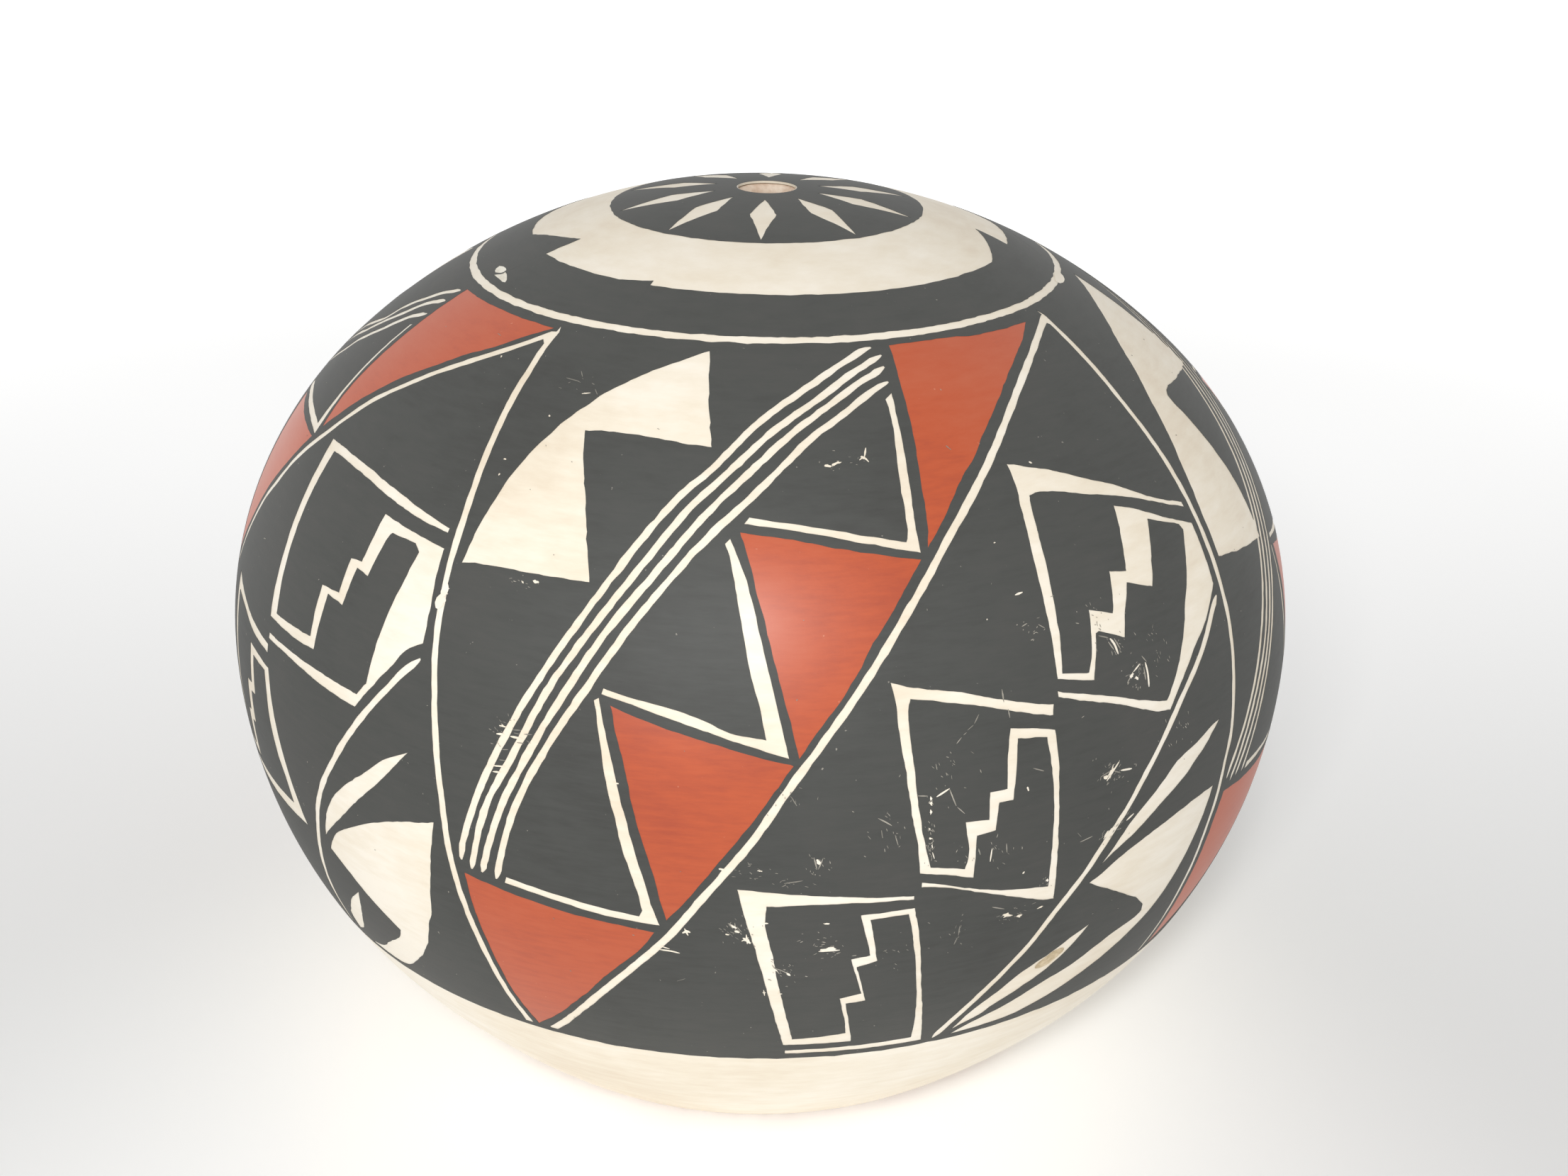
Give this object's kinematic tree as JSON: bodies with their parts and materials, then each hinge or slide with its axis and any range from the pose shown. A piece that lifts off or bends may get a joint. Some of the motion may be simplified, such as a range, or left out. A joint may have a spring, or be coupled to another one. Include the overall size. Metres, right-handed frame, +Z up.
{
  "type": "pueblo pottery jar",
  "caption": "Round closed-in clay seed jar with a small mouth, painted in black, red and cream swirls, stepped frets and leaves.",
  "frame": {"origin": "centre of the flat foot", "axes": "+Z up along the pot's axis, the first painted panel faces -Y"},
  "size_m": [0.19, 0.19, 0.152],
  "materials": {
    "clay": "matte",
    "coat": "satin",
    "black": "matte",
    "red": "matte"
  },
  "bodies": {
    "root": {"base_slab": "clay", "lower_coil": "clay", "belly_coil_1": "clay", "belly_coil_2": "clay", "belly_coil_3": "clay", "belly_coil_4": "clay", "shoulder_coil_1": "clay", "shoulder_coil_2": "clay", "shoulder_coil_3": "clay", "shoulder_coil_4": "clay", "crown_coil_1": "clay", "crown_coil_2": "clay", "crown_coil_3": "clay", "crown_coil_4": "clay", "mouth_coil": "clay", "cream_coat": "coat", "top_disc": "black", "top_teeth": "black", "sweep_field_1": "black", "sweep_field_2": "black", "sweep_field_3": "black", "sweep_field_4": "black", "fret_field_1": "black", "fret_field_2": "black", "fret_field_3": "black", "fret_field_4": "black", "red_patches_1": "red", "red_patches_2": "red", "red_patches_3": "red", "red_patches_4": "red"}
  },
  "joints": []
}
